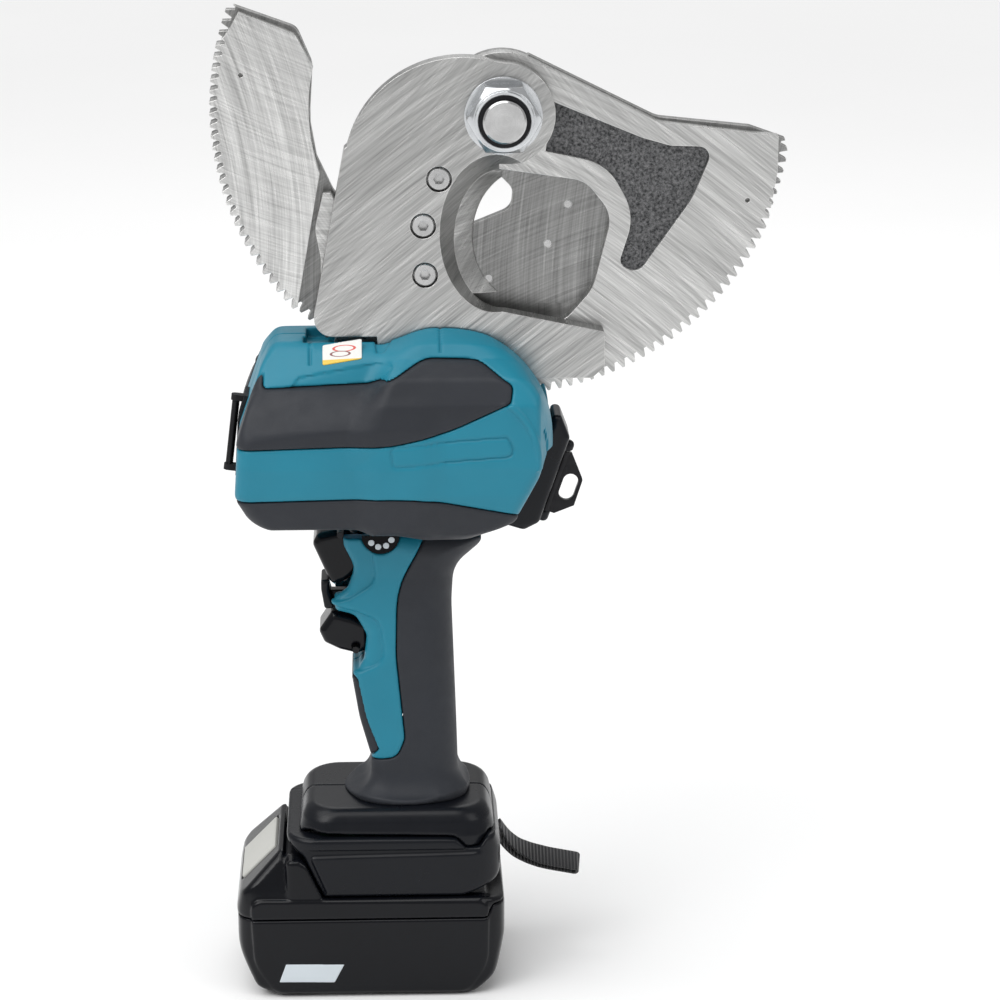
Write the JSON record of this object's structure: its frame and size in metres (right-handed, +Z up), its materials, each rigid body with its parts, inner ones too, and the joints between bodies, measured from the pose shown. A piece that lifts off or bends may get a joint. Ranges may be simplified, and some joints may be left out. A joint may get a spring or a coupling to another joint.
{
  "type": "rescue cutter",
  "caption": "Battery-powered rescue cutter with a toothed sickle blade swinging past a fixed plate blade, pistol grip, triggers, slide-on battery and strap rings.",
  "frame": {"origin": "centre of the battery's flat bottom face, on which the tool stands", "axes": "+X towards the free side of the blades, +Y away from the side with the nut and name pad, +Z up along the handle"},
  "size_m": [0.2414, 0.095, 0.427],
  "materials": {
    "teal_plastic": "satin moulded plastic with a fine grain",
    "black_rubber": "soft charcoal overmould",
    "black_plastic": "semi-gloss moulded plastic",
    "dark_plastic": "matte moulded plastic",
    "ground_steel": "surface ground with long crossing scratches",
    "turned_steel": "turned and machined",
    "zinc_steel": "bright zinc plate",
    "black_steel": "black oxide",
    "gear_steel": "hobbed, lightly oiled",
    "aluminium_plate": "milled",
    "board": "green solder mask",
    "copper_lead": "insulated wire",
    "contact_brass": "plated contact",
    "cell_wrap": "shrink sleeve",
    "button_grey": "light grey moulded plastic",
    "label_film": "printed film",
    "disc_film": "black film with light dots",
    "webbing": "woven black webbing"
  },
  "bodies": {
    "tool": {"housing_front": "teal_plastic", "housing_back": "teal_plastic", "handle_front": "teal_plastic", "handle_back": "teal_plastic", "bumper_upper_front": "black_rubber", "bumper_upper_back": "black_rubber", "bumper_lower_front": "black_rubber", "bumper_lower_back": "black_rubber", "grip_rubber": "black_rubber", "finger_pad": "black_rubber", "side_spine": "dark_plastic", "strap_anchor": "dark_plastic", "strap_pins": "turned_steel", "foot_front": "black_plastic", "foot_back": "black_plastic", "foot_base": "black_plastic", "terminal_block": "dark_plastic", "terminal_contacts": "contact_brass", "fixed_blade_plate": "ground_steel", "fixed_blade_insert": "ground_steel", "insert_screws": "turned_steel", "pivot_bolt": "turned_steel", "pivot_nut": "zinc_steel", "pivot_washers": "zinc_steel", "retaining_ring": "black_steel", "frame_plates": "aluminium_plate", "frame_bolts": "turned_steel", "motor_can": "turned_steel", "bearings": "gear_steel", "control_board": "board", "switch_upper": "dark_plastic", "switch_lower": "dark_plastic", "power_leads": "copper_lead", "trigger_pins": "turned_steel", "trigger_springs": "turned_steel", "housing_screws": "black_steel", "warning_label": "label_film", "indicator_disc": "disc_film", "wrist_strap": "webbing"},
    "blade": {"blade_cutting_plate": "ground_steel", "blade_front_plate": "ground_steel", "blade_tip_plate": "ground_steel", "blade_rivets": "turned_steel", "blade_bushing": "contact_brass", "blade_wear_pad": "dark_plastic"},
    "drive_shaft": {"drive_pinion": "gear_steel", "drive_gear": "gear_steel"},
    "layshaft": {"layshaft": "gear_steel"},
    "rotor": {"rotor": "gear_steel", "fan": "dark_plastic"},
    "trigger_upper": {"trigger_upper": "black_plastic"},
    "trigger_lower": {"trigger_lower": "black_plastic"},
    "lock_slider": {"lock_slider": "black_plastic"},
    "battery": {"battery_case_lower": "black_plastic", "battery_case_upper": "black_plastic", "battery_cells": "cell_wrap", "battery_board": "board"},
    "battery_button": {"battery_button": "button_grey"},
    "strap_ring_right": {"strap_ring_right": "black_steel"},
    "strap_ring_left": {"strap_ring_left": "black_steel"}
  },
  "joints": [
    {"name": "blade_swing", "type": "hinge", "parent": "tool", "child": "blade", "pos_m": [0.058, 0, 0.3835], "axis": [0, -1, 0], "range_deg": [0, 175]},
    {"name": "drive_spin", "type": "hinge", "parent": "tool", "child": "drive_shaft", "pos_m": [0.03259, 0, 0.25091], "axis": [0, -1, 0], "range_deg": [-1400, 0]},
    {"name": "layshaft_spin", "type": "hinge", "parent": "tool", "child": "layshaft", "pos_m": [0.00553, 0, 0.24106], "axis": [0, -1, 0], "range_deg": [0, 4200]},
    {"name": "rotor_spin", "type": "hinge", "parent": "tool", "child": "rotor", "pos_m": [-0.01991, 0, 0.23928], "axis": [0, -1, 0], "range_deg": [-21000, 0]},
    {"name": "upper_trigger_press", "type": "hinge", "parent": "tool", "child": "trigger_upper", "pos_m": [-0.0115, 0, 0.2032], "axis": [0, -1, 0], "range_deg": [0, 8], "stiffness_Nm_per_rad": 0.9, "springref_deg": -14.32},
    {"name": "lower_trigger_press", "type": "hinge", "parent": "tool", "child": "trigger_lower", "pos_m": [-0.0055, 0, 0.1515], "axis": [0, 1, 0], "range_deg": [0, 8], "stiffness_Nm_per_rad": 0.9, "springref_deg": -14.32},
    {"name": "lock_shift", "type": "slide", "parent": "tool", "child": "lock_slider", "axis": [0, 1, 0], "range_m": [-0.003, 0.003]},
    {"name": "battery_slide", "type": "slide", "parent": "tool", "child": "battery", "axis": [-1, 0, 0], "range_m": [0, 0.12]},
    {"name": "battery_button_press", "type": "slide", "parent": "battery", "child": "battery_button", "axis": [0.7583, 0, -0.6519], "range_m": [0, 0.003], "stiffness_N_per_m": 900, "springref_m": -0.002},
    {"name": "right_ring_swing", "type": "hinge", "parent": "tool", "child": "strap_ring_right", "pos_m": [0.0764, 0, 0.209], "axis": [0.3283, 0, 0.9446], "range_deg": [-75, 75]},
    {"name": "left_ring_swing", "type": "hinge", "parent": "tool", "child": "strap_ring_left", "pos_m": [-0.0587, 0, 0.2315], "axis": [0.124, 0, 0.9923], "range_deg": [0, 170]}
  ],
  "couplings": [
    {"joint": "drive_spin", "follows": "blade_swing", "ratio": -8},
    {"joint": "layshaft_spin", "follows": "blade_swing", "ratio": 24},
    {"joint": "rotor_spin", "follows": "blade_swing", "ratio": -120}
  ]
}
